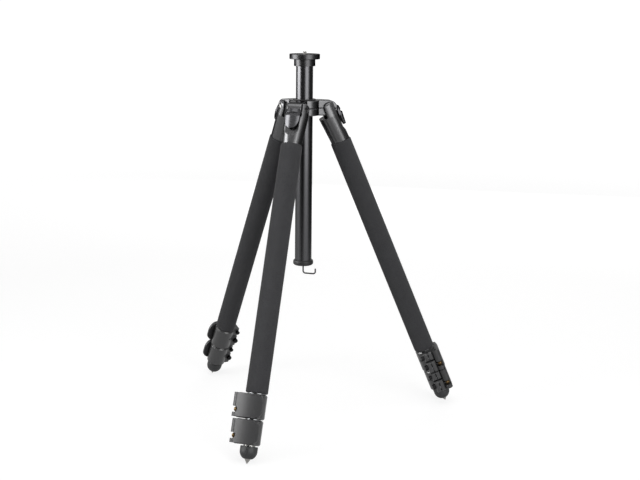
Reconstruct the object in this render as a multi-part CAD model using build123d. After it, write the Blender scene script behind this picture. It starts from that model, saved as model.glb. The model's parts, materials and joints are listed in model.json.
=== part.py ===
from build123d import *
import math
import os

# A photo tripod: a cast shoulder with three folding, telescoping legs, and a centre column
# that slides through it. Lengths are millimetres and angles are degrees.
# The origin is on the floor under the column, +Z is up, and the front leg points along -Y.

# Stance
leg_azimuths = (270.0, 30.0, 150.0)
splay = 23.0               # leg axis from the vertical as the tripod stands
pivot_radius = 40.5        # column axis to leg pivot
pivot_offset = 2.2         # how far the leg axis runs inside its pivot

# Fits
running = 0.05             # radial play of a pin that turns or a thread that runs
seated = 0.02              # radial play of pieces that are fixed together
sliding = 0.15             # radial play of one leg tube in another
open_gap = 0.5             # clear air beside a piece that moves past another

# Shoulder castings
hub_above = 13.2           # pivot plane to top
hub_below = 12.0           # pivot plane to bottom
barrel_radius = 25.0
barrel_round = 1.6
arm_half_width = 12.4
arm_end_radius = 12.3
arm_round = 1.8
seam_gap = 1.2
pin_radius = 4.0
pin_skin = 3.4             # metal left outside the blind end of a pin

# Shoulder screws, driven from below
screw_circle = 20.2
screw_radius = 2.0
screw_head_radius = 3.5
screw_head_height = 4.0
screw_roof = 3.5           # metal left above the screw's end
screw_key_radius = 1.7
screw_key_depth = 2.2

# Column and its bush
column_od = 28.0
column_wall = 1.5
column_above = 54.3        # bare tube between shoulder and head plate
column_below = 241.2       # bare tube between shoulder and end flange
bush_wall = 1.5
bush_flange_width = 3.0
bush_flange_height = 1.2

# Head plate
neck_radius = 17.3
neck_height = 11.2
plate_radius = 24.75
plate_height = 8.2
plate_edge = 0.6
spigot_length = 20.0
stud_radius = 3.175        # quarter inch camera thread
stud_length = 4.1
stud_chamfer = 0.7
stud_base_radius = 4.76    # three eighths inch thread of the reversible screw
stud_base_length = 9.0
stud_base_recess = 0.4

# End plug and hook
flange_radius = 16.75
flange_height = 9.1
flange_round = 3.2
plug_wall = 3.0
hook_wire = 2.5
hook_reach = 21.5
hook_drop = 14.6           # flange to the middle of the hook's bottom run
hook_rise = 8.0
hook_bend = 4.0
hook_head_radius = 2.6
hook_head_height = 2.0

# Column lock
boss_radius = 6.5
boss_reach = 33.5          # column axis to the boss's face
lock_stud_radius = 3.0
knob_radius = 11.0
knob_length = 17.0
knob_flutes = 7
knob_flute_radius = 3.2
knob_flute_depth = 1.4
knob_edge = 1.5

# Leg head
head_length = 58.0         # pivot plane to the top of the foam
socket_radius = 15.75
ear_half_width = 19.3
ear_slot_half = 13.0
ear_dome_radius = 10.6
ear_corner = 15.4
ear_top_round = 6.0
head_lip = 19.3            # leg axis to the inner lip
rim_depth = 13.0           # pivot plane to the slot's floor and the lip
socket_depth = 12.0        # length of tube held inside the socket
spigot_depth = 34.0        # length of the spigot inside the tube
recess_half_width = 14.8
recess_floor = 11.0        # leg axis to the floor of the tab's recess
recess_end = 45.0
recess_taper = 24.0        # length over which the recess narrows to its rounded end

# Angle tab
tab_half_width = 12.5
tab_top = 2.5
tab_block_end = 17.5
tab_tip = 35.4
tab_taper = 20.0           # length over which the tab narrows to its rounded tip
tab_head_face = 18.6       # leg axis to the tab's outer face at its top
tab_groove_top = 8.6       # finger groove across the tab
tab_groove_depth = 3.4
tab_kink_face = 20.7
tab_kink = 13.9
tab_tip_face = 19.3
tab_tip_back = 14.6
tab_back = 13.4
tab_block_back = 12.0
tab_crown = 20.0           # radius of the outer face, which is rounded across the tab
tab_edge = 0.7
tab_travel = 6.0
plunger_radius = 2.5
keeper_radius = 4.5
keeper_height = 1.5
pocket_radius = 5.2
pocket_shoulder = 6.0
spring_wire = 0.8
spring_turns = 5

# Leg tubes
upper_od = 28.0
upper_wall = 1.3
middle_od = 24.0
middle_wall = 1.2
lower_od = 20.2
lower_wall = 1.2
sleeve_length = 30.0
tube_stagger = 4.0         # each inner tube starts this much lower

# Foam grip
foam_od = 34.8
foam_length = 396.0
foam_edge = 1.2

# Quick locks
lock_gap = 1.0
lock_height = 38.4
lock_turn = -7.5           # lock turned about the leg
upper_collar_radius = 17.2
lower_collar_radius = 16.3
collar_chamfer = 2.0
tier_height = 15.6         # upper part of the collar, fixed to the outer tube
tier_slot = 1.8
tier_slot_reach = 4.0      # the slot between the tiers stops this far from the leg axis
slit_width = 2.0
ear_margin = 4.6           # ear beyond the middle of the clamp bolt
ear_inner_face = 8.0
ear_round = 3.6
lever_pin_out = 14.5       # leg axis to lever pin, outwards
upper_pin_side = 23.3      # leg axis to lever pin, sideways
lower_pin_side = 20.6
lever_pin_radius = 2.0
cam_radius = 6.2
cam_gap = 0.3
cam_step = 0.4             # the cam stands this far proud of the plate
lever_inset = 0.8          # lever below the collar's top and above its bottom
lever_wall = 5.4           # collar to the lever's crown
lever_crown_side = -3.0
lever_tip_lift = 0.4       # how far outside the collar the lever's free tip runs
lever_tip_reach = 5.6      # free tip beyond the collar's side
lever_tip_thickness = 3.4
lever_tip_radius = 14.0
lever_edge = 0.9
bolt_station = 26.5        # lock top to clamp bolt
bolt_radius = 2.5
ball_radius = 4.0
notch_radius = 4.6
nut_flats = 8.0
nut_height = 4.5
tier_screw_station = 7.8
tier_screw_head_radius = 3.2

# Foot
foot_gap = 1.6
foot_height = 19.1
foot_radius = 13.6
foot_end_radius = 6.9
foot_edge = 1.0
foot_wall_above_insert = 3.0
neck_plug_radius = 9.2
neck_step = 0.6            # how far the neck reaches into the foot
plug_length = 28.0
stem_radius = 5.0
insert_radius = 8.0
insert_length = 12.0
spike_exposed = 7.5
tip_radius = 0.8

# Stations along a leg, measured down its axis from the pivot plane
foam_end = head_length + foam_length
upper_lock_top = foam_end + lock_gap
lower_lock_top = upper_lock_top + lock_height + lock_gap
lock_end = lower_lock_top + lock_height
foot_top = lock_end + foot_gap
foot_end = foot_top + foot_height
leg_length = foot_end + spike_exposed
tube_top = head_length - socket_depth
spigot_end = tube_top + spigot_depth
middle_top = spigot_end + tube_stagger
lower_top = middle_top + tube_stagger

# The plunger passes just under the tab's block, and its keeper leaves room for the closed spring
plunger_station = tab_block_end + plunger_radius + open_gap
plunger_inner = pocket_shoulder - tab_travel - (spring_turns + 1) * spring_wire - 2 * open_gap

# Heights above the floor
splay_sin = math.sin(math.radians(splay))
splay_cos = math.cos(math.radians(splay))
pivot_height = (leg_length - tip_radius) * splay_cos + pivot_offset * splay_sin + tip_radius
hub_top = pivot_height + hub_above
hub_bottom = pivot_height - hub_below
neck_bottom = hub_top + column_above
plate_bottom = neck_bottom + neck_height
plate_top = plate_bottom + plate_height
flange_top = hub_bottom - column_below
flange_bottom = flange_top - flange_height

# Radii that follow from the sizes above
column_radius = column_od / 2
column_bore = column_radius - column_wall
bush_inner = column_radius + running
bush_outer = bush_inner + bush_wall
upper_radius = upper_od / 2
upper_bore = upper_radius - upper_wall
middle_radius = middle_od / 2
middle_bore = middle_radius - middle_wall
lower_radius = lower_od / 2
lower_bore = lower_radius - lower_wall
ear_outer_face = lever_pin_out - cam_radius - cam_gap
lever_height = lock_height - 2 * lever_inset
far = 4 * (leg_length + plate_radius)


def rod(radius, low, high):
    return Pos(0, 0, low) * Cylinder(radius, high - low, align=(Align.CENTER, Align.CENTER, Align.MIN))


def pipe(outer, inner, low, high):
    return rod(outer, low, high) - rod(inner, low, high)


def block(x_low, x_high, y_low, y_high, z_low, z_high):
    box = Box(x_high - x_low, y_high - y_low, z_high - z_low)
    return Pos((x_low + x_high) / 2, (y_low + y_high) / 2, (z_low + z_high) / 2) * box


def outline(*points):
    return make_face(Polyline(*points, close=True))


def turned(*points):
    return revolve(Plane.XZ * outline(*points), Axis.Z)


def across(sketch, half_width):
    # a profile drawn in x and z, thickened to both sides along y
    return extrude(Plane.XZ * sketch, half_width, both=True)


def outwards(sketch, x_low, x_high):
    # a profile drawn in y and z, thickened along x
    return extrude(Pos(x_low, 0, 0) * (Plane.YZ * sketch), x_high - x_low)


def along_x(radius, x_low, x_high):
    return Pos(x_low, 0, 0) * Rot(0, 90, 0) * rod(radius, 0, x_high - x_low)


def along_y(radius, y_low, y_high):
    return Pos(0, y_low, 0) * Rot(-90, 0, 0) * rod(radius, 0, y_high - y_low)


# Shoulder, drawn with the pivot plane at z = 0


def shoulder_arm():
    side = Line((0, -hub_below), (pivot_radius, -arm_end_radius))
    side += ThreePointArc(
        (pivot_radius, -arm_end_radius),
        (pivot_radius + arm_end_radius, 0),
        (pivot_radius, arm_end_radius),
    )
    side += Polyline(
        (pivot_radius, arm_end_radius),
        (barrel_radius, hub_above),
        (0, hub_above),
        (0, -hub_below),
    )
    arm = across(make_face(side), arm_half_width)
    flanks = arm.faces().filter_by(Axis.Y)
    return fillet(flanks.edges(), arm_round)


def shoulder_blank():
    barrel = rod(barrel_radius, -hub_below, hub_above)
    blank = fillet(barrel.edges().filter_by(GeomType.CIRCLE), barrel_round)
    arm = shoulder_arm()
    for azimuth in leg_azimuths:
        blank += Rot(0, 0, azimuth) * arm
    pin_seat = Pos(pivot_radius, 0, 0) * along_y(pin_radius + seated, -barrel_radius, barrel_radius)
    for azimuth in leg_azimuths:
        blank -= Rot(0, 0, azimuth) * pin_seat
    return blank - rod(bush_outer + seated, -far, far)


def each_screw(solid):
    return [Rot(0, 0, azimuth) * Pos(screw_circle, 0, 0) * solid for azimuth in leg_azimuths]


def lock_boss():
    boss = along_y(boss_radius, bush_outer + open_gap, boss_reach)
    return boss - along_y(lock_stud_radius + running, 0, far)


screw_end = hub_above - screw_roof
screw_seat = -hub_below + screw_head_height


def hub_upper():
    solid = shoulder_blank() & block(-far, far, -far, far, seam_gap / 2, far)
    solid -= along_y(boss_radius + open_gap, 0, far)
    for hole in each_screw(rod(screw_radius + seated, -hub_below, screw_end + seam_gap / 2)):
        solid -= hole
    return solid


def hub_lower():
    solid = shoulder_blank() & block(-far, far, -far, far, -far, -seam_gap / 2)
    solid -= along_y(lock_stud_radius + running, 0, far)
    solid += lock_boss()
    hole = rod(screw_radius + seated, -far, far) + rod(screw_head_radius + seated, -far, screw_seat)
    for each in each_screw(hole):
        solid -= each
    return solid


def hub_screws():
    screw = rod(screw_radius, screw_seat, screw_end)
    screw += rod(screw_head_radius, -hub_below, screw_seat)
    key = extrude(RegularPolygon(screw_key_radius, 6), screw_key_depth)
    screw -= Pos(0, 0, -hub_below) * key
    return Compound(each_screw(screw))


def leg_pivot_pins():
    pin = along_y(pin_radius, -ear_half_width + pin_skin, ear_half_width - pin_skin)
    pin = Pos(pivot_radius, 0, 0) * pin
    return Compound([Rot(0, 0, azimuth) * pin for azimuth in leg_azimuths])


def column_bush():
    sleeve = pipe(bush_outer, bush_inner, -hub_below, hub_above)
    flange_outer = bush_outer + bush_flange_width
    return sleeve + pipe(flange_outer, bush_inner, hub_above, hub_above + bush_flange_height)


# Column lock, on the +Y side of the shoulder

knob_start = boss_reach + open_gap


def column_lock_knob():
    knob = along_y(knob_radius, knob_start, knob_start + knob_length)
    knob = fillet(knob.edges().filter_by(GeomType.CIRCLE), knob_edge)
    reach = knob_radius + knob_flute_radius - knob_flute_depth
    flute = Pos(reach, 0, 0) * along_y(knob_flute_radius, knob_start, knob_start + knob_length)
    for step in range(knob_flutes):
        knob -= Rot(0, 360 * step / knob_flutes, 0) * flute
    return knob - along_y(lock_stud_radius + seated, 0, knob_start + knob_length / 2)


def column_lock_stud():
    return along_y(lock_stud_radius, bush_outer + open_gap, knob_start + knob_length / 2)


# Column, drawn at its height above the floor


def column_tube():
    return pipe(column_radius, column_bore, flange_top, neck_bottom)


def head_plate():
    plate = rod(plate_radius, plate_bottom, plate_top)
    plate = chamfer(plate.edges().filter_by(GeomType.CIRCLE), plate_edge)
    plate += rod(neck_radius, neck_bottom, plate_bottom)
    plate += rod(column_bore - seated, neck_bottom - spigot_length, neck_bottom)
    return plate - rod(stud_base_radius + seated, plate_top - stud_base_length, far)


def head_screw():
    base_top = plate_top - stud_base_recess
    stud = rod(stud_radius, base_top, plate_top + stud_length)
    stud = chamfer(stud.faces().sort_by(Axis.Z)[-1].edges(), stud_chamfer)
    return stud + rod(stud_base_radius, plate_top - stud_base_length, base_top)


def column_end_plug():
    flange = rod(flange_radius, flange_bottom, flange_top)
    flange = fillet(flange.edges().filter_by(GeomType.CIRCLE), flange_round)
    plug = flange + rod(column_bore - seated, flange_top - flange_height / 2, flange_top + spigot_length)
    plug -= rod(column_bore - plug_wall, flange_top, far)
    return plug - rod(hook_wire / 2 + running, flange_bottom - flange_height, far)


def ballast_hook():
    wire = hook_wire / 2
    bottom = flange_bottom - hook_drop
    head_low = flange_top + running
    path = FilletPolyline(
        (0, 0, head_low),
        (0, 0, bottom),
        (hook_reach, 0, bottom),
        (hook_reach, 0, bottom + hook_rise),
        radius=hook_bend,
    )
    hook = sweep(Pos(0, 0, head_low) * Circle(wire), path=path)
    hook += Pos(hook_reach, 0, bottom + hook_rise) * Sphere(wire)
    return hook + rod(hook_head_radius, head_low, head_low + hook_head_height)


# Leg, drawn upright with its axis on z, the pivot plane at z = 0, +x outwards and the foot down


def head_section(station, inner, outer, half_width, corner):
    shape = RectangleRounded(inner + outer, 2 * half_width, corner)
    return Pos((outer - inner) / 2, 0, -station) * shape


ear_outer = pivot_offset + ear_dome_radius


def head_ears():
    base = head_section(rim_depth, head_lip, ear_outer, ear_half_width, ear_corner)
    ears = extrude(base, rim_depth * 2)
    dome = Pos(pivot_offset, 0) * Circle(ear_dome_radius)
    dome += Pos(pivot_offset, -rim_depth / 2) * Rectangle(2 * ear_dome_radius, rim_depth)
    ears &= across(dome, far)
    tall = ear_dome_radius + rim_depth
    front = RectangleRounded(2 * ear_half_width, 2 * tall, ear_top_round)
    ears &= outwards(Pos(0, ear_dome_radius - tall) * front, -far, far)
    return ears - block(-far, far, -ear_slot_half, ear_slot_half, -rim_depth, far)


def tab_recess():
    straight = recess_end - recess_taper
    arch = Pos(0, -straight) * Ellipse(recess_half_width, recess_taper)
    arch += Pos(0, (far - straight) / 2) * Rectangle(2 * recess_half_width, far + straight)
    return outwards(arch, recess_floor, far)


def leg_head():
    lower = head_section(head_length, socket_radius, socket_radius, socket_radius, socket_radius - seated)
    upper = head_section(rim_depth, head_lip, ear_outer, ear_half_width, ear_corner)
    head = loft(Sketch() + [lower, upper], ruled=True)
    head -= tab_recess()
    head += head_ears()
    head -= rod(upper_radius + seated, -head_length - socket_depth, -tube_top)
    head += rod(upper_bore - seated, -spigot_end, -tube_top + seated)
    blind_end = seated + ear_half_width - pin_skin
    head -= Pos(pivot_offset, 0, 0) * along_y(pin_radius + running, -blind_end, far)
    at_plunger = Pos(0, 0, -plunger_station)
    head -= at_plunger * along_x(pocket_radius, -far, pocket_shoulder)
    return head - at_plunger * along_x(plunger_radius + running, 0, far)


def angle_tab():
    side = outline(
        (tab_block_back, -tab_top),
        (far, -tab_top),
        (far, -tab_tip),
        (tab_tip_back, -tab_tip),
        (tab_back, -tab_block_end),
        (tab_block_back, -tab_block_end),
    )
    crown_axis = tab_kink_face - tab_crown
    face = turned(
        (0, 0),
        (tab_head_face - crown_axis, 0),
        (tab_head_face - crown_axis, -tab_top),
        (tab_crown, -tab_kink),
        (tab_tip_face - crown_axis, -tab_tip),
        (tab_tip_face - crown_axis, -recess_end),
        (0, -recess_end),
    )
    straight = tab_tip - tab_taper
    shield = Pos(0, -straight) * Ellipse(tab_half_width, tab_taper)
    shield += Pos(0, -straight / 2) * Rectangle(2 * tab_half_width, straight)
    tab = outwards(shield, 0, far) & across(side, far)
    tab &= Pos(crown_axis, 0, 0) * Rot(0, 0, 180) * face
    front_faces = tab.faces().filter_by(lambda face: face.normal_at().X > 0.5)
    rim = [edge for edge in front_faces.edges() if abs(edge.center().Z + tab_kink) > open_gap]
    tab = fillet(rim, tab_edge)
    tab -= block(tab_kink_face - tab_groove_depth, far, -far, far, -tab_kink, -tab_groove_top)
    tab -= Pos(pivot_offset, 0, 0) * along_y(arm_end_radius + open_gap, -far, far)
    at_plunger = Pos(0, 0, -plunger_station)
    tab += at_plunger * along_x(plunger_radius, plunger_inner, tab_back + open_gap)
    return tab + at_plunger * along_x(keeper_radius, plunger_inner - keeper_height, plunger_inner)


def angle_spring():
    room = pocket_shoulder - plunger_inner - spring_wire - 2 * running
    mean = (plunger_radius + pocket_radius) / 2
    coil = Helix(pitch=room / spring_turns, height=room, radius=mean)
    wire = sweep((coil ^ 0) * Circle(spring_wire / 2), path=coil, is_frenet=True)
    start = plunger_inner + spring_wire / 2 + running
    return Pos(start, 0, -plunger_station) * Rot(0, 90, 0) * wire


def upper_tube():
    return pipe(upper_radius, upper_bore, seated - upper_lock_top - tier_height, -tube_top - seated)


def foam_grip():
    foam = rod(foam_od / 2, -foam_end, -head_length)
    foam = fillet(foam.edges().filter_by(GeomType.CIRCLE), foam_edge)
    return foam - rod(upper_radius + seated, -far, far)


def glide_tube(radius, bore, guide, top, end):
    tube = pipe(radius, bore, -end, -top)
    sleeve = pipe(guide - sliding, radius + seated, -top - sleeve_length, -top)
    return Compound([tube, sleeve])


def middle_tube():
    end = lower_lock_top + tier_height - seated
    return glide_tube(middle_radius, middle_bore, upper_bore, middle_top, end)


def lower_tube():
    return glide_tube(lower_radius, lower_bore, middle_bore, lower_top, lock_end)


# Quick lock, drawn with the top of its collar at z = 0 and its ears towards -y


def lock_collar(outer_tube, inner_tube, collar_radius, pin_side):
    collar = rod(collar_radius, -lock_height, 0)
    collar = chamfer(collar.edges().filter_by(GeomType.CIRCLE), collar_chamfer)
    for top, bottom in ((0, tier_height), (tier_height + tier_slot, lock_height)):
        ears = block(-ear_inner_face, ear_outer_face, -pin_side - ear_margin, 0, -bottom, -top)
        end = ears.faces().sort_by(Axis.Y)[0]
        collar += fillet(end.edges(), ear_round)
    collar -= rod(outer_tube + seated, -tier_height, far)
    collar -= rod(inner_tube + sliding, -far, far)
    collar -= block(-slit_width / 2, slit_width / 2, -far, 0, -far, far)
    collar -= block(-far, far, -far, -tier_slot_reach, -tier_height - tier_slot, -tier_height)
    bolt_hole = Pos(0, -pin_side, 0) * along_x(bolt_radius + running, -far, far)
    collar -= Pos(0, 0, -bolt_station) * bolt_hole
    return collar - Pos(0, 0, -tier_screw_station) * bolt_hole


def lever_plate(collar_radius, pin_side):
    # seen along the leg the plate runs from the lever pin round the collar to a free tip
    wrap = collar_radius + open_gap
    tip_out = collar_radius + lever_tip_lift
    tip_in = tip_out - lever_tip_thickness
    tip_side = collar_radius + lever_tip_reach
    pin_face = lever_pin_out + cam_radius - cam_step
    meet = math.sqrt(wrap**2 - tip_in**2)
    edge = ThreePointArc(
        (pin_face, -pin_side),
        (collar_radius + lever_wall, lever_crown_side),
        (tip_out, tip_side),
    )
    edge += Polyline((tip_out, tip_side), (tip_in, tip_side), (tip_in, meet))
    edge += ThreePointArc((tip_in, meet), (wrap, 0), (tip_in, -meet))
    edge += Polyline(
        (tip_in, -meet),
        (lever_pin_out, -pin_side),
        (pin_face, -pin_side),
    )
    plate = Pos(0, 0, lever_inset - lock_height) * extrude(make_face(edge), lever_height)
    tip = plate.faces().sort_by(Axis.Y)[-1]
    plate = fillet(tip.edges().filter_by(Axis.X), lever_tip_radius)
    crown = plate.faces().filter_by(GeomType.CYLINDER).sort_by(SortBy.AREA)[-1]
    return fillet(crown.edges().sort_by(Axis.Y)[1:], lever_edge)


def lock_lever(collar_radius, pin_side):
    at_pin = Pos(lever_pin_out, -pin_side, 0)
    lever = lever_plate(collar_radius, pin_side)
    lever += at_pin * rod(cam_radius, lever_inset - lock_height, -lever_inset)
    notch = Pos(-pin_side, -bolt_station) * Circle(notch_radius)
    notch += Pos(-pin_side - far / 2, -bolt_station) * Rectangle(far, 2 * notch_radius)
    lever -= outwards(notch, -far, far)
    return lever - at_pin * rod(lever_pin_radius + running, -far, far)


def lock_fasteners(pin_side):
    at_bolt = Pos(0, -pin_side, -bolt_station)
    nut_face = -ear_inner_face - nut_height
    pin = Pos(lever_pin_out, -pin_side, 0)
    bolt = at_bolt * along_x(bolt_radius, nut_face, lever_pin_out)
    bolt += at_bolt * Pos(lever_pin_out, 0, 0) * Sphere(ball_radius)
    bolt -= pin * rod(lever_pin_radius + seated, -far, far)
    hexagon = RegularPolygon(nut_flats / 2, 6, major_radius=False)
    nut = outwards(hexagon, nut_face, -ear_inner_face)
    nut = at_bolt * (nut - along_x(bolt_radius + seated, -far, far))
    lever_pin = pin * rod(lever_pin_radius, 2 * lever_inset - lock_height, -2 * lever_inset)
    screw = along_x(bolt_radius, -ear_inner_face, ear_outer_face)
    screw += along_x(tier_screw_head_radius, nut_face, -ear_inner_face)
    screw = Pos(0, -pin_side, -tier_screw_station) * screw
    return Compound([bolt, nut, lever_pin, screw])


# Foot


def spike():
    body = turned(
        (0, lock_end - plug_length),
        (lower_bore - seated, lock_end - plug_length),
        (lower_bore - seated, lock_end + seated),
        (neck_plug_radius, lock_end + seated),
        (neck_plug_radius, foot_top + neck_step),
        (stem_radius, foot_top + neck_step),
        (stem_radius, foot_end),
        (tip_radius, leg_length - tip_radius),
        (0, leg_length - tip_radius),
    )
    return mirror(body + Pos(0, 0, leg_length - tip_radius) * Sphere(tip_radius), Plane.XY)


insert_top = foot_top + foot_wall_above_insert


def foot_insert():
    return pipe(insert_radius, stem_radius + running, -insert_top - insert_length, -insert_top)


def rubber_foot():
    # a short barrel that runs into a ball, cut flat at the bottom
    ball_centre = -foot_end + math.sqrt(foot_radius**2 - foot_end_radius**2)
    foot = rod(foot_radius, ball_centre, -foot_top) + Pos(0, 0, ball_centre) * Sphere(foot_radius)
    foot &= rod(foot_radius + open_gap, -foot_end, -foot_top)
    foot = fillet(foot.faces().sort_by(Axis.Z)[-1].edges(), foot_edge)
    foot -= rod(insert_radius + running, -insert_top - insert_length - running, running - insert_top)
    foot -= rod(neck_plug_radius + open_gap, -insert_top, far)
    return foot - rod(stem_radius + open_gap, -far, far)


# Places and files


def leg_place(azimuth):
    turn = math.radians(azimuth)
    outward = Vector(math.cos(turn), math.sin(turn), 0)
    up = Vector(0, 0, 1)
    normal = outward * splay_cos + up * splay_sin
    along = up * splay_cos - outward * splay_sin
    centre = outward * pivot_radius + up * pivot_height - normal * pivot_offset
    return Plane(origin=centre, x_dir=normal, z_dir=along).location


def lock_place(top):
    return Pos(0, 0, -top) * Rot(0, 0, lock_turn)


def save(shape, name):
    export_step(shape, os.path.join("parts", name + ".step"))


os.makedirs("parts", exist_ok=True)

at_pivot = Pos(0, 0, pivot_height)
for make in (
    hub_upper,
    hub_lower,
    hub_screws,
    leg_pivot_pins,
    column_bush,
    column_lock_knob,
    column_lock_stud,
):
    save(at_pivot * make(), make.__name__)

for make in (column_tube, head_plate, head_screw, column_end_plug, ballast_hook):
    save(make(), make.__name__)

upper_lock = lock_place(upper_lock_top)
lower_lock = lock_place(lower_lock_top)
leg_pieces = {
    "head": leg_head(),
    "angle_tab": angle_tab(),
    "angle_spring": angle_spring(),
    "upper_tube": upper_tube(),
    "foam_grip": foam_grip(),
    "upper_collar": upper_lock
    * lock_collar(upper_radius, middle_radius, upper_collar_radius, upper_pin_side),
    "upper_lever": upper_lock * lock_lever(upper_collar_radius, upper_pin_side),
    "upper_fasteners": upper_lock * lock_fasteners(upper_pin_side),
    "middle_tube": middle_tube(),
    "lower_collar": lower_lock
    * lock_collar(middle_radius, lower_radius, lower_collar_radius, lower_pin_side),
    "lower_lever": lower_lock * lock_lever(lower_collar_radius, lower_pin_side),
    "lower_fasteners": lower_lock * lock_fasteners(lower_pin_side),
    "lower_tube": lower_tube(),
    "spike": spike(),
    "foot_insert": foot_insert(),
    "rubber_foot": rubber_foot(),
}
for number, azimuth in enumerate(leg_azimuths, start=1):
    place = leg_place(azimuth)
    for name, piece in leg_pieces.items():
        save(place * piece, f"leg_{number}_{name}")
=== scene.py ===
import json
import math
import bmesh
import bpy
from mathutils import Matrix, Vector, noise


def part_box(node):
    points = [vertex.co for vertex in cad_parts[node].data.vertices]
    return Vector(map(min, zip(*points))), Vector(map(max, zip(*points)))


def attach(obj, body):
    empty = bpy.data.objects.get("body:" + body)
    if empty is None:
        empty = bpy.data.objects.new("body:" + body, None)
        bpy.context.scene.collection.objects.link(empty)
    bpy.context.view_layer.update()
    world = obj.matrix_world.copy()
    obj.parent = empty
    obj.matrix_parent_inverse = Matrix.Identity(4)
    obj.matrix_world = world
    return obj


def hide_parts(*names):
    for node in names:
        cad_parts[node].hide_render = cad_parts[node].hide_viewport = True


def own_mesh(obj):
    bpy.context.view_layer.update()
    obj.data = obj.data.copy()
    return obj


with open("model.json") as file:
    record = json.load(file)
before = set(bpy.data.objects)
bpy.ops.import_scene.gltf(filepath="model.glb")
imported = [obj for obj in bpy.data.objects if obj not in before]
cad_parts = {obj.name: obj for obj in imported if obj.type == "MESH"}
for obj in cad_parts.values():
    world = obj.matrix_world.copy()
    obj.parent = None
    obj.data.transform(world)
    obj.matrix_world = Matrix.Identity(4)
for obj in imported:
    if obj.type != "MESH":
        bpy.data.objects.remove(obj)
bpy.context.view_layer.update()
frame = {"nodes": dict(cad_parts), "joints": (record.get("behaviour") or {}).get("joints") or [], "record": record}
nodes = frame["nodes"]
joints = {joint["name"]: joint for joint in frame["joints"]}
legs = ("leg_1", "leg_2", "leg_3")
scene = bpy.context.scene
scene.view_settings.view_transform = "Standard"
mm = 0.001
print("frame: %d nodes, %d joints" % (len(nodes), len(joints)))


def toLinear(hexColour):
    parts = [int(hexColour[i:i + 2], 16) / 255 for i in (1, 3, 5)]
    return [p / 12.92 if p <= 0.04045 else ((p + 0.055) / 1.055) ** 2.4 for p in parts] + [1.0]


def addNode(tree, kind, settings=None, inputs=None):
    node = tree.nodes.new(kind)
    for name, value in (settings or {}).items():
        setattr(node, name, value)
    for socket, value in (inputs or {}).items():
        if isinstance(value, bpy.types.NodeSocket):
            tree.links.new(value, node.inputs[socket])
        else:
            node.inputs[socket].default_value = value
    return node


def startMaterial(name):
    material = bpy.data.materials.new(name)
    material.use_nodes = True
    tree = material.node_tree
    tree.nodes.clear()
    shader = addNode(tree, "ShaderNodeBsdfPrincipled")
    addNode(tree, "ShaderNodeOutputMaterial", inputs={"Surface": shader.outputs[0]})
    # nodes sit at the origin, so this is in metres
    place = addNode(tree, "ShaderNodeTexCoord").outputs["Object"]
    return material, tree, shader, place


# how the grain is drawn: on castings and mouldings, and more lightly on turned metal
grainRelief = {"samples": 8, "detail": 3.0, "strength": 0.6}
turnedRelief = {"samples": 4, "detail": 2.0, "strength": 0.4}


def wrapSurface(tree, shader, place, look, relief):
    # softened edge plus surface grain, both in real sizes, and the grain's play in the gloss
    edge = addNode(tree, "ShaderNodeBevel", {"samples": relief["samples"]}, {"Radius": look["edge"]})
    grain = addNode(tree, "ShaderNodeTexNoise", inputs={
        "Vector": place, "Scale": 1 / look["grain"], "Detail": relief["detail"]})
    bump = addNode(tree, "ShaderNodeBump", inputs={
        "Height": grain.outputs["Fac"], "Distance": look["depth"], "Strength": relief["strength"],
        "Normal": edge.outputs[0]})
    smooth, rough = look["roughness"]
    gloss = addNode(tree, "ShaderNodeMapRange", inputs={
        "Value": grain.outputs["Fac"], "To Min": smooth, "To Max": rough})
    tree.links.new(bump.outputs[0], shader.inputs["Normal"])
    tree.links.new(gloss.outputs[0], shader.inputs["Roughness"])
    return edge, grain


# die-cast magnesium, bead blasted and clear lacquered: soft grey metal, edges painted a little brighter, partly as
# rubbed wear and partly as a painted highlight.
# In the cast and turned metals "glance" is how much gloss is left where a surface is seen almost edge on.
castFinish = {"name": "bead blasted die-cast magnesium", "body": "#646465", "low": "#5a5a5b",
              "rubbedAndHighlit": "#8a8a8c", "wearAndHighlight": 0.7, "edgeMarkFrom": 0.99, "edgeMarkFull": 0.82,
              "roughness": (0.25, 0.31), "grain": 0.9 * mm, "depth": 0.03 * mm, "clouds": 14 * mm,
              "edge": 1.5 * mm, "lacquer": 0.25, "lacquerRoughness": 0.1, "glance": "#303030"}


def castMagnesium(look):
    material, tree, shader, place = startMaterial(look["name"])
    edge = wrapSurface(tree, shader, place, look, grainRelief)[0]
    clouds = addNode(tree, "ShaderNodeTexNoise", inputs={
        "Vector": place, "Scale": 1 / look["clouds"], "Detail": 4.0})
    tone = addNode(tree, "ShaderNodeMix", {"data_type": "RGBA"}, {
        0: clouds.outputs["Fac"], 6: toLinear(look["low"]), 7: toLinear(look["body"])})
    trueNormal = addNode(tree, "ShaderNodeNewGeometry").outputs["Normal"]
    # near an edge the softened normal leans away from the true one
    turn = addNode(tree, "ShaderNodeVectorMath", {"operation": "DOT_PRODUCT"}, {
        0: edge.outputs[0], 1: trueNormal})
    # edges painted brighter: partly rubbed wear, partly a painted highlight along each rim
    rubbedAndHighlit = addNode(tree, "ShaderNodeMapRange", inputs={
        "Value": turn.outputs["Value"], "From Min": look["edgeMarkFrom"], "From Max": look["edgeMarkFull"],
        "To Min": 0.0, "To Max": look["wearAndHighlight"]})
    colour = addNode(tree, "ShaderNodeMix", {"data_type": "RGBA"}, {
        0: rubbedAndHighlit.outputs[0], 6: tone.outputs[2], 7: toLinear(look["rubbedAndHighlit"])})
    shader.inputs["Metallic"].default_value = 1.0
    shader.inputs["Specular Tint"].default_value = toLinear(look["glance"])
    shader.inputs["Coat Weight"].default_value = look["lacquer"]
    shader.inputs["Coat Roughness"].default_value = look["lacquerRoughness"]
    tree.links.new(colour.outputs[2], shader.inputs["Base Color"])
    return material


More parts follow.
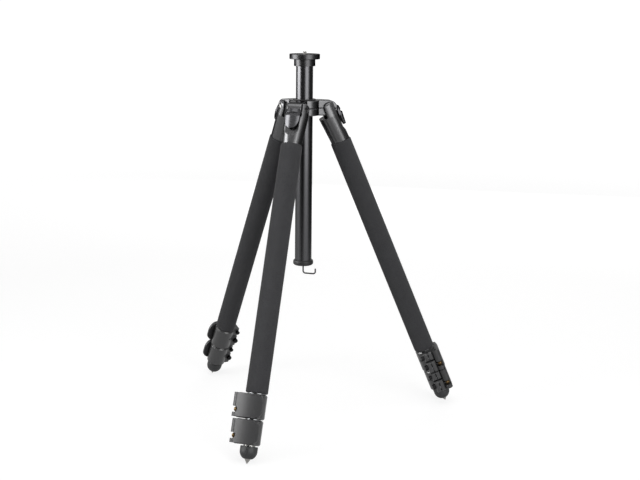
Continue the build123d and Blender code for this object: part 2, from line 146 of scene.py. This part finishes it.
# drawn aluminium tube, anodised: fine lines run along it, so its bands of light have soft sides.
# The column is dyed black, the leg tubes keep the metal's grey.
columnFinish = {"name": "black anodised drawn aluminium", "body": "#58585a", "line": "#5d5d5f",
                "roughness": (0.22, 0.26), "lineWidth": 0.7 * mm, "lineLength": 160 * mm}
tubeFinish = {"name": "grey anodised drawn aluminium", "body": "#8d8e90", "line": "#98999b",
              "roughness": (0.28, 0.32), "lineWidth": 0.7 * mm, "lineLength": 160 * mm}


def drawnAluminium(look):
    material, tree, shader, place = startMaterial(look["name"])
    # the real drawing lines are about 0.05 mm, drawn coarser so that they show
    stretched = addNode(tree, "ShaderNodeMapping", inputs={
        "Vector": place, "Scale": (1 / look["lineWidth"], 1 / look["lineWidth"], 1 / look["lineLength"])})
    lines = addNode(tree, "ShaderNodeTexNoise", inputs={
        "Vector": stretched.outputs[0], "Scale": 1.0, "Detail": 2.0})
    tone = addNode(tree, "ShaderNodeMix", {"data_type": "RGBA"}, {
        0: lines.outputs["Fac"], 6: toLinear(look["body"]), 7: toLinear(look["line"])})
    smooth, rough = look["roughness"]
    gloss = addNode(tree, "ShaderNodeMapRange", inputs={
        "Value": lines.outputs["Fac"], "To Min": smooth, "To Max": rough})
    shader.inputs["Metallic"].default_value = 1.0
    tree.links.new(tone.outputs[2], shader.inputs["Base Color"])
    tree.links.new(gloss.outputs[0], shader.inputs["Roughness"])
    return material


# turned metal: the tool leaves fine marks, seen as a faint broken sheen.
# The plate is anodised dark, spikes and camera screw are bright, bolts are blackened, their eyes are brass.
plateFinish = {"name": "dark anodised turned aluminium", "body": "#4a4a4b", "mark": "#4f4f50",
               "roughness": (0.27, 0.38), "glance": "#202020"}
steelFinish = {"name": "turned stainless steel", "body": "#9d9c99", "mark": "#b2b1ae",
               "roughness": (0.25, 0.36), "glance": "#f0f0f0"}
boltFinish = {"name": "black oxide turned steel", "body": "#2b2b2c", "mark": "#363637",
              "roughness": (0.35, 0.46), "glance": "#808080"}
brassFinish = {"name": "turned brass", "body": "#5e4c33", "mark": "#6c593d",
               "roughness": (0.29, 0.40), "glance": "#f0e0c0"}
# tool marks of about 0.1 mm, drawn coarser so that they show
toolMarks = {"grain": 0.8 * mm, "depth": 0.015 * mm, "edge": 0.35 * mm}


def turnedMetal(look):
    material, tree, shader, place = startMaterial(look["name"])
    marks = wrapSurface(tree, shader, place, {**look, **toolMarks}, turnedRelief)[1]
    tone = addNode(tree, "ShaderNodeMix", {"data_type": "RGBA"}, {
        0: marks.outputs["Fac"], 6: toLinear(look["body"]), 7: toLinear(look["mark"])})
    shader.inputs["Metallic"].default_value = 1.0
    shader.inputs["Specular Tint"].default_value = toLinear(look["glance"])
    tree.links.new(tone.outputs[2], shader.inputs["Base Color"])
    return material


# die-cast tab, tumbled and polished: clear bright reflections that roll over its crowned face
tabFinish = {"name": "polished die-cast tab", "body": "#4e4e50", "worn": "#575759",
             "roughness": (0.23, 0.31), "grain": 6 * mm, "depth": 0.02 * mm, "edge": 0.8 * mm,
             "glance": "#303030"}


def polishedCasting(look):
    material, tree, shader, place = startMaterial(look["name"])
    smears = wrapSurface(tree, shader, place, look, grainRelief)[1]
    tone = addNode(tree, "ShaderNodeMix", {"data_type": "RGBA"}, {
        0: smears.outputs["Fac"], 6: toLinear(look["body"]), 7: toLinear(look["worn"])})
    shader.inputs["Metallic"].default_value = 1.0
    shader.inputs["Specular Tint"].default_value = toLinear(look["glance"])
    tree.links.new(tone.outputs[2], shader.inputs["Base Color"])
    return material


# moulded or dipped dark parts: a fine eroded grain that keeps the gloss low and broken.
# The collars are lacquered and shine a little, the levers and the rubber are duller.
lockFinish = {"name": "lacquered glass filled nylon", "body": "#353536", "speck": "#3e3e3f",
              "roughness": (0.30, 0.44), "grain": 1.1 * mm, "depth": 0.03 * mm, "edge": 0.9 * mm,
              "specular": 0.5, "lacquer": 0.7, "lacquerRoughness": 0.12}
leverFinish = {"name": "glass filled nylon moulding", "body": "#363637", "speck": "#404041",
               "roughness": (0.36, 0.50), "grain": 1.1 * mm, "depth": 0.05 * mm, "edge": 0.7 * mm,
               "specular": 0.55}
nylonFinish = {"name": "black moulded nylon", "body": "#19191a", "speck": "#232324",
               "roughness": (0.44, 0.58), "grain": 0.9 * mm, "depth": 0.03 * mm, "edge": 0.4 * mm,
               "specular": 0.5}
knobFinish = {"name": "black moulded ABS", "body": "#1b1b1c", "speck": "#262627",
              "roughness": (0.36, 0.50), "grain": 1.0 * mm, "depth": 0.04 * mm, "edge": 0.5 * mm,
              "specular": 0.5}
rubberFinish = {"name": "moulded nitrile rubber", "body": "#303132", "speck": "#3a3b3c",
                "roughness": (0.44, 0.58), "grain": 1.3 * mm, "depth": 0.05 * mm, "edge": 0.6 * mm,
                "specular": 0.5}
wireFinish = {"name": "black oxide steel wire", "body": "#1e1e1f", "speck": "#2c2c2d",
              "roughness": (0.32, 0.46), "grain": 0.8 * mm, "depth": 0.02 * mm, "edge": 0.3 * mm,
              "specular": 0.6}


def mouldedPart(look):
    material, tree, shader, place = startMaterial(look["name"])
    grain = wrapSurface(tree, shader, place, look, grainRelief)[1]
    tone = addNode(tree, "ShaderNodeMix", {"data_type": "RGBA"}, {
        0: grain.outputs["Fac"], 6: toLinear(look["body"]), 7: toLinear(look["speck"])})
    shader.inputs["Specular IOR Level"].default_value = look["specular"]
    if "lacquer" in look:
        shader.inputs["Coat Weight"].default_value = look["lacquer"]
        shader.inputs["Coat Roughness"].default_value = look["lacquerRoughness"]
    tree.links.new(tone.outputs[2], shader.inputs["Base Color"])
    return material


# closed cell foam, skinned off a block and ground round: matt charcoal with small open cells, their hollows given
# painted shade
foamFinish = {"name": "ground closed cell foam", "body": "#3d3d3f", "poreShade": "#28282a", "dust": "#464648",
              "poreSize": 1.6 * mm, "poreHeart": 0.1, "poreRim": 0.45, "poreShadeShare": 0.55,
              "poreDepth": 0.25 * mm, "poreStrength": 0.5, "patch": 22 * mm, "roughness": 0.92,
              "specular": 0.25, "sheen": 0.08}


def closedCellFoam(look):
    material, tree, shader, place = startMaterial(look["name"])
    # cells of about 0.5 mm, drawn three times as large so that they show
    cells = addNode(tree, "ShaderNodeTexVoronoi", inputs={"Vector": place, "Scale": 1 / look["poreSize"]})
    # the hollows of the cells are painted darker: painted shade in the cavities
    poreShadeMask = addNode(tree, "ShaderNodeMapRange", inputs={
        "Value": cells.outputs["Distance"], "From Min": look["poreHeart"], "From Max": look["poreRim"],
        "To Min": look["poreShadeShare"], "To Max": 0.0})
    patches = addNode(tree, "ShaderNodeTexNoise", inputs={
        "Vector": place, "Scale": 1 / look["patch"], "Detail": 3.0})
    ground = addNode(tree, "ShaderNodeMix", {"data_type": "RGBA"}, {
        0: patches.outputs["Fac"], 6: toLinear(look["body"]), 7: toLinear(look["dust"])})
    colour = addNode(tree, "ShaderNodeMix", {"data_type": "RGBA"}, {
        0: poreShadeMask.outputs[0], 6: ground.outputs[2], 7: toLinear(look["poreShade"])})
    bump = addNode(tree, "ShaderNodeBump", inputs={
        "Height": cells.outputs["Distance"], "Distance": look["poreDepth"], "Strength": look["poreStrength"]})
    shader.inputs["Roughness"].default_value = look["roughness"]
    shader.inputs["Specular IOR Level"].default_value = look["specular"]
    shader.inputs["Sheen Weight"].default_value = look["sheen"]
    tree.links.new(colour.outputs[2], shader.inputs["Base Color"])
    tree.links.new(bump.outputs[0], shader.inputs["Normal"])
    return material


finishes = {
    "cast_magnesium": castMagnesium(castFinish),
    "black_anodised": drawnAluminium(columnFinish),
    "leg_tube": drawnAluminium(tubeFinish),
    "plate_metal": turnedMetal(plateFinish),
    "steel": turnedMetal(steelFinish),
    "dark_steel": turnedMetal(boltFinish),
    "brass": turnedMetal(brassFinish),
    "polished_tab": polishedCasting(tabFinish),
    "lock_body": mouldedPart(lockFinish),
    "lock_lever": mouldedPart(leverFinish),
    "nylon": mouldedPart(nylonFinish),
    "knob_plastic": mouldedPart(knobFinish),
    "foot_rubber": mouldedPart(rubberFinish),
    "wire_steel": mouldedPart(wireFinish),
    "foam": closedCellFoam(foamFinish),
}
for part in frame["record"]["subparts"]:
    mesh = nodes[part["node"]].data
    mesh.materials.clear()
    mesh.materials.append(finishes[part["material_slot"]])


# the eye of the clamp bolt is a brass ball, the rest of the lock's fasteners are blackened steel:
# points this far from the axis of the lever's pin give its height, and faces within its reach are brass
brassEye = {"least": 3.6 * mm, "most": 4.1 * mm, "reach": 4.4 * mm}


def brassBall(leg, tier, size):
    mesh = nodes["%s_%s_fasteners" % (leg, tier)].data
    swing = joints["%s_%s_lever_swing" % (leg, tier)]
    pin, down = Vector(swing["pos_m"]), Vector(swing["axis"]).normalized()
    stations = []
    for vertex in mesh.vertices:
        offset = vertex.co - pin
        station = offset.dot(down)
        if size["least"] < (offset - down * station).length < size["most"]:
            stations.append(station)
    ball = pin + down * (sum(stations) / len(stations))
    mesh.materials.clear()
    mesh.materials.append(finishes["dark_steel"])
    mesh.materials.append(finishes["brass"])
    for face in mesh.polygons:
        face.material_index = 1 if (face.center - ball).length < size["reach"] else 0


for leg in legs:
    brassBall(leg, "upper", brassEye)
    brassBall(leg, "lower", brassEye)
print("finishes: %d" % len(finishes))


def newPiece(name, mesh, body, slot, *standsFor):
    piece = bpy.data.objects.new(name, mesh)
    scene.collection.objects.link(piece)
    mesh.materials.append(finishes[slot])
    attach(piece, body)
    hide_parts(*standsFor)
    return piece


def sweepRings(name, rings, capped):
    # loops of points joined in turn, then capped at both ends, or the last loop joined back to the first
    mesh = bpy.data.meshes.new(name)
    work = bmesh.new()
    loops = [[work.verts.new(point) for point in ring] for ring in rings]
    for here, there in zip(loops, loops[1:] if capped else loops[1:] + loops[:1]):
        for i in range(len(here)):
            j = (i + 1) % len(here)
            work.faces.new((here[i], here[j], there[j], there[i])).smooth = True
    if capped:
        work.faces.new(loops[0])
        work.faces.new(loops[-1])
    bmesh.ops.recalc_face_normals(work, faces=work.faces)
    work.to_mesh(mesh)
    work.free()
    return mesh


def legLine(leg):
    # a point on the leg's axis and the way down along it
    point = Vector(joints[leg + "_foot_turn"]["pos_m"])
    down = Vector(joints[leg + "_middle_slide"]["axis"]).normalized()
    return point, down


def legSize(node, point, down):
    # where a node starts and ends along the leg, and its least and largest radius
    along, radii = [], []
    for vertex in nodes[node].data.vertices:
        offset = vertex.co - point
        station = offset.dot(down)
        along.append(station)
        radii.append((offset - down * station).length)
    return min(along), max(along), min(radii), max(radii)


# foam grip: a sleeve with rolled ends, its outer skin slightly uneven
foamGrip = {"segments": 72, "step": 5 * mm, "roll": 2.4 * mm, "rollSteps": 8, "skin": 0.24 * mm,
            "wave": 0.16 * mm, "waveLength": 34 * mm, "fill": 0.95}


def makeFoamGrip(leg, size):
    point, down = legLine(leg)
    low, high, bore, outer = legSize(leg + "_foam_grip", point, down)
    across = down.orthogonal().normalized()
    beside = down.cross(across)
    roll, rollSteps = size["roll"], size["rollSteps"]
    profile = [(low, bore), (low, outer - roll)]
    for i in range(1, rollSteps + 1):
        turn = math.pi / 2 * i / rollSteps
        profile.append((low + roll * (1 - math.cos(turn)), outer - roll + roll * math.sin(turn)))
    count = int((high - low - 2 * roll) / size["step"])
    for i in range(1, count):
        profile.append((low + roll + (high - low - 2 * roll) * i / count, outer))
    for i in range(rollSteps + 1):
        turn = math.pi / 2 * i / rollSteps
        profile.append((high - roll * (1 - math.sin(turn)), outer - roll + roll * math.cos(turn)))
    profile.append((high, bore))
    rings = []
    for station, radius in profile:
        ring = []
        for i in range(size["segments"]):
            turn = 2 * math.pi * i / size["segments"]
            out = across * math.cos(turn) + beside * math.sin(turn)
            spot = point + down * station + out * radius
            if radius > outer - size["skin"]:
                spot -= out * size["wave"] * (0.5 + 0.5 * noise.noise(spot / size["waveLength"]))
            ring.append(spot)
        rings.append(ring)
    mesh = sweepRings(leg + "_foam", rings, capped=False)
    piece = newPiece(leg + "_foam", mesh, leg, "foam", leg + "_foam_grip")


for leg in legs:
    makeFoamGrip(leg, foamGrip)
print("foam grips: %d" % len(legs))


# camera screw: a quarter inch stud, 20 turns to the inch, on its three eighths inch base
cameraScrew = {"pitch": 1.27 * mm, "threadDepth": 0.62 * mm, "perTurn": 32, "rowsPerTurn": 8,
               "lead": 1.0 * mm, "leadDrop": 0.5, "crestTop": 1.35, "flank": 2.7}


def makeCameraScrew(size):
    low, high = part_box("head_screw")
    middle = (low + high) / 2
    spots = [vertex.co - middle for vertex in nodes["head_screw"].data.vertices]
    reaches = [(math.hypot(spot.x, spot.y), spot.z + middle.z) for spot in spots]
    base = max(reach for reach, z in reaches)
    outer = max(reach for reach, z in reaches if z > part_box("head_plate")[1].z)
    seat = max(z for reach, z in reaches if reach > (base + outer) / 2)
    root = outer - size["threadDepth"]
    rows = int((high.z - seat) / size["pitch"] * size["rowsPerTurn"])
    levels = [(low.z, False), (seat, False)]
    levels += [(seat + (high.z - seat) * i / rows, True) for i in range(rows + 1)]
    mesh = bpy.data.meshes.new("cameraScrew")
    work = bmesh.new()
    # the crests climb by the pitch in one turn, and fade out over the lead at the tip
    grid = []
    for z, threaded in levels:
        taper = min(1.0, (high.z - z) / size["lead"])
        ring = []
        for i in range(size["perTurn"]):
            turn = 2 * math.pi * i / size["perTurn"]
            phase = ((z - seat) / size["pitch"] - i / size["perTurn"]) % 1.0
            crest = max(0.0, min(1.0, size["crestTop"] - size["flank"] * abs(phase - 0.5)))
            radius = base
            if threaded:
                radius = root + (outer - root) * crest * taper
                radius -= (1 - taper) * size["leadDrop"] * size["threadDepth"]
            spot = Vector((radius * math.cos(turn), radius * math.sin(turn), z))
            ring.append(work.verts.new(spot + Vector((middle.x, middle.y, 0))))
        grid.append(ring)
    for here, there in zip(grid, grid[1:]):
        for i in range(len(here)):
            j = (i + 1) % len(here)
            face = work.faces.new((here[i], here[j], there[j], there[i]))
            face.smooth = here is not grid[1]
    work.faces.new(list(reversed(grid[0])))
    work.faces.new(grid[-1])
    bmesh.ops.recalc_face_normals(work, faces=work.faces)
    work.to_mesh(mesh)
    work.free()
    newPiece("cameraScrew", mesh, "column", "steel", "head_screw")


makeCameraScrew(cameraScrew)
print("camera screw cut")


# return spring behind the angle tab, coiled from end to end of its pocket; on the real tripod it closes up as the
# tab is pulled out, here it is drawn at rest and not made to close up
returnSpring = {"turns": 5, "wire": 0.8 * mm, "perTurn": 28, "round": 10}


def makeReturnSpring(leg, size):
    pull = joints[leg + "_tab_pull"]
    out = Vector(pull["axis"]).normalized()
    spots = [vertex.co.copy() for vertex in nodes[leg + "_angle_spring"].data.vertices]
    stations = [spot.dot(out) for spot in spots]
    near, far = min(stations), max(stations)
    low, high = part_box(leg + "_angle_spring")
    middle = (low + high) / 2
    axis = [middle + out * (station - middle.dot(out)) for station in (near, far)]
    outer = max((spot - axis[0] - out * (station - near)).length for spot, station in zip(spots, stations))
    half = size["wire"] / 2
    across = out.orthogonal().normalized()
    beside = out.cross(across)
    rings = []
    steps = size["turns"] * size["perTurn"]
    for i in range(steps + 1):
        turn = 2 * math.pi * i / size["perTurn"]
        away = across * math.cos(turn) + beside * math.sin(turn)
        rise = half + (far - near - size["wire"]) * i / steps
        heart = axis[0] + out * rise + away * (outer - half)
        rings.append([heart + away * half * math.cos(a) + out * half * math.sin(a)
                      for a in (2 * math.pi * k / size["round"] for k in range(size["round"]))])
    mesh = sweepRings(leg + "_spring", rings, capped=True)
    piece = newPiece(leg + "_spring", mesh, leg, "steel", leg + "_angle_spring")
    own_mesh(piece)


for leg in legs:
    makeReturnSpring(leg, returnSpring)
print("return springs: %d" % len(legs))


def seenRays(tree, shine):
    # 1 for the camera, and the given share for what shows in metal
    path = addNode(tree, "ShaderNodeLightPath")
    shiny = addNode(tree, "ShaderNodeMath", {"operation": "MAXIMUM"}, {
        0: path.outputs["Is Glossy Ray"], 1: path.outputs["Is Transmission Ray"]})
    mirrored = addNode(tree, "ShaderNodeMath", {"operation": "MULTIPLY"}, {0: shiny.outputs[0], 1: shine})
    seen = addNode(tree, "ShaderNodeMath", {"operation": "MAXIMUM"}, {
        0: path.outputs["Is Camera Ray"], 1: mirrored.outputs[0]})
    return seen.outputs[0]


# pale studio floor: white to the camera, half as bright in metal, and still darker under the tripod
studioFloor = {"half": 240.0, "colour": "#9c9c9c", "glow": 0.8, "shine": 0.5, "near": 1.2, "far": 4.0}


def makeFloor(size):
    mesh = bpy.data.meshes.new("floor")
    work = bmesh.new()
    bmesh.ops.create_grid(work, x_segments=8, y_segments=8, size=size["half"])
    work.to_mesh(mesh)
    work.free()
    floor = bpy.data.objects.new("floor", mesh)
    scene.collection.objects.link(floor)
    material = bpy.data.materials.new("pale paper floor")
    material.use_nodes = True
    tree = material.node_tree
    tree.nodes.clear()
    seen = seenRays(tree, size["shine"])
    paper = addNode(tree, "ShaderNodeBsdfDiffuse", inputs={"Color": toLinear(size["colour"])})
    spot = addNode(tree, "ShaderNodeNewGeometry").outputs["Position"]
    reach = addNode(tree, "ShaderNodeVectorMath", {"operation": "LENGTH"}, {0: spot})
    # past the lamps' pool of light the paper glows a little more, so that it stays evenly white
    level = addNode(tree, "ShaderNodeMapRange", inputs={
        "Value": reach.outputs["Value"], "From Min": size["near"], "From Max": size["far"],
        "To Min": size["glow"], "To Max": 1.0})
    strength = addNode(tree, "ShaderNodeMath", {"operation": "MULTIPLY"}, {0: seen, 1: level.outputs[0]})
    glow = addNode(tree, "ShaderNodeEmission", inputs={"Strength": strength.outputs[0]})
    both = addNode(tree, "ShaderNodeAddShader", inputs={0: paper.outputs[0], 1: glow.outputs[0]})
    addNode(tree, "ShaderNodeOutputMaterial", inputs={"Surface": both.outputs[0]})
    mesh.materials.append(material)


# white backdrop all round, dim ceiling above it
studioAir = {"colour": "#ffffff", "ambient": 0.3, "ceiling": 0.45, "wallTop": 0.42, "ceilingFrom": 0.62}


def makeWorld(size):
    world = bpy.data.worlds.new("studio")
    scene.world = world
    world.use_nodes = True
    tree = world.node_tree
    tree.nodes.clear()
    level = addNode(tree, "ShaderNodeMapRange", inputs={
        "Value": seenRays(tree, 1.0), "To Min": size["ambient"], "To Max": 1.0})
    way = addNode(tree, "ShaderNodeSeparateXYZ", inputs={
        "Vector": addNode(tree, "ShaderNodeTexCoord").outputs["Generated"]})
    height = addNode(tree, "ShaderNodeMapRange", inputs={
        "Value": way.outputs["Z"], "From Min": size["wallTop"], "From Max": size["ceilingFrom"],
        "To Min": 1.0, "To Max": size["ceiling"]})
    strength = addNode(tree, "ShaderNodeMath", {"operation": "MULTIPLY"}, {
        0: level.outputs[0], 1: height.outputs[0]})
    air = addNode(tree, "ShaderNodeBackground", inputs={
        "Color": toLinear(size["colour"]), "Strength": strength.outputs[0]})
    addNode(tree, "ShaderNodeOutputWorld", inputs={"Surface": air.outputs[0]})


makeFloor(studioFloor)
makeWorld(studioAir)

# where the camera stood: focal length and image width in pixels, the rest in metres and degrees
shot = {"focal": 1177.5, "imageWidth": 640, "distance": 1.9243, "height": 0.7006, "azimuth": 288.835,
        "pitch": 11.846, "yaw": -0.829, "roll": 0.6, "farthest": 1000.0}


def placeCamera(view):
    azimuth, pitch, yaw, roll = [math.radians(view[k]) for k in ("azimuth", "pitch", "yaw", "roll")]
    out = Vector((math.cos(azimuth), math.sin(azimuth), 0))
    side = Vector((out.y, -out.x, 0))
    look = -out * math.cos(yaw) + side * math.sin(yaw)
    right = Vector((look.y, -look.x, 0))
    ahead = look * math.cos(pitch) + Vector((0, 0, -math.sin(pitch)))
    up = right.cross(ahead)
    across = right * math.cos(roll) + up * math.sin(roll)
    upright = across.cross(ahead)
    data = bpy.data.cameras.new("shot")
    data.lens = data.sensor_width * view["focal"] / view["imageWidth"]
    data.clip_end = view["farthest"]
    camera = bpy.data.objects.new("shot", data)
    camera.matrix_world = Matrix((across, upright, -ahead)).transposed().to_4x4()
    camera.location = out * view["distance"] + Vector((0, 0, view["height"]))
    scene.collection.objects.link(camera)
    scene.camera = camera


placeCamera(shot)

# soft boxes round the tripod: bearings in degrees to the right of the camera, sizes and distances in metres.
# The wash lamps light the faces, and the bands are tall boxes that only show in shiny surfaces.
# Each points level at the column, or at the height named as its aim.
softBoxes = {
    "washLeft": {"bearing": -65, "distance": 1.7, "height": 0.85, "wide": 0.5, "tall": 1.6, "radiance": 2.7,
                 "shows": "diffuse"},
    "washRight": {"bearing": 34, "distance": 2.4, "height": 0.95, "wide": 1.6, "tall": 1.9, "radiance": 2.3,
                  "shows": "diffuse"},
    "washBack": {"bearing": 168, "distance": 2.4, "height": 1.0, "wide": 1.6, "tall": 1.8, "radiance": 1.2,
                 "shows": "diffuse"},
    "overhead": {"bearing": -10, "distance": 0.4, "height": 2.4, "wide": 1.6, "tall": 1.6, "radiance": 1.6,
                 "aim": 0.4, "shows": "both"},
    "bandLeft": {"bearing": -80, "distance": 1.7, "height": 1.02, "wide": 1.3, "tall": 1.36, "radiance": 5.8,
                 "shows": "glossy"},
    "bandRight": {"bearing": 34, "distance": 2.2, "height": 0.95, "wide": 1.6, "tall": 1.5, "radiance": 2.3,
                  "shows": "glossy"},
}


def bearingOut(bearing):
    turn = math.radians(shot["azimuth"] + bearing)
    return Vector((math.cos(turn), math.sin(turn), 0))


def hangSoftBox(name, box):
    data = bpy.data.lights.new(name, "AREA")
    data.shape = "RECTANGLE"
    data.size = box["wide"]
    data.size_y = box["tall"]
    # the energy of a lamp that looks this bright is four times its brightness times its area
    data.energy = 4 * box["radiance"] * box["wide"] * box["tall"]
    lamp = bpy.data.objects.new(name, data)
    lamp.location = bearingOut(box["bearing"]) * box["distance"] + Vector((0, 0, box["height"]))
    aim = Vector((0, 0, box.get("aim", box["height"]))) - lamp.location
    lamp.rotation_euler = aim.to_track_quat("-Z", "Y").to_euler()
    lamp.visible_camera = False
    lamp.visible_diffuse = box["shows"] != "glossy"
    lamp.visible_glossy = box["shows"] != "diffuse"
    scene.collection.objects.link(lamp)


for name, box in softBoxes.items():
    hangSoftBox(name, box)

# grey cards stand beside the set and only show in shiny metal, as its dark bands:
# each span is two bearings in degrees and a height in metres
greyCards = {"colour": "#6a6a6a", "radius": 1.3, "step": 4.0,
             "spans": ((-52, 5, 1.0), (68, 142, 0.8), (-142, -122, 1.3))}


def standCards(cards):
    material = bpy.data.materials.new("grey card")
    material.use_nodes = True
    shader = material.node_tree.nodes["Principled BSDF"]
    shader.inputs["Base Color"].default_value = toLinear(cards["colour"])
    shader.inputs["Roughness"].default_value = 1.0
    for number, (start, stop, top) in enumerate(cards["spans"], start=1):
        mesh = bpy.data.meshes.new("card%d" % number)
        work = bmesh.new()
        count = int((stop - start) / cards["step"])
        posts = []
        for i in range(count + 1):
            foot = bearingOut(start + (stop - start) * i / count) * cards["radius"]
            posts.append((work.verts.new(foot), work.verts.new(foot + Vector((0, 0, top)))))
        for here, there in zip(posts, posts[1:]):
            work.faces.new((here[0], there[0], there[1], here[1]))
        work.to_mesh(mesh)
        work.free()
        mesh.materials.append(material)
        card = bpy.data.objects.new("card%d" % number, mesh)
        scene.collection.objects.link(card)
        card.visible_camera = False
        card.visible_diffuse = False
        card.visible_shadow = False


standCards(greyCards)
print("studio set")
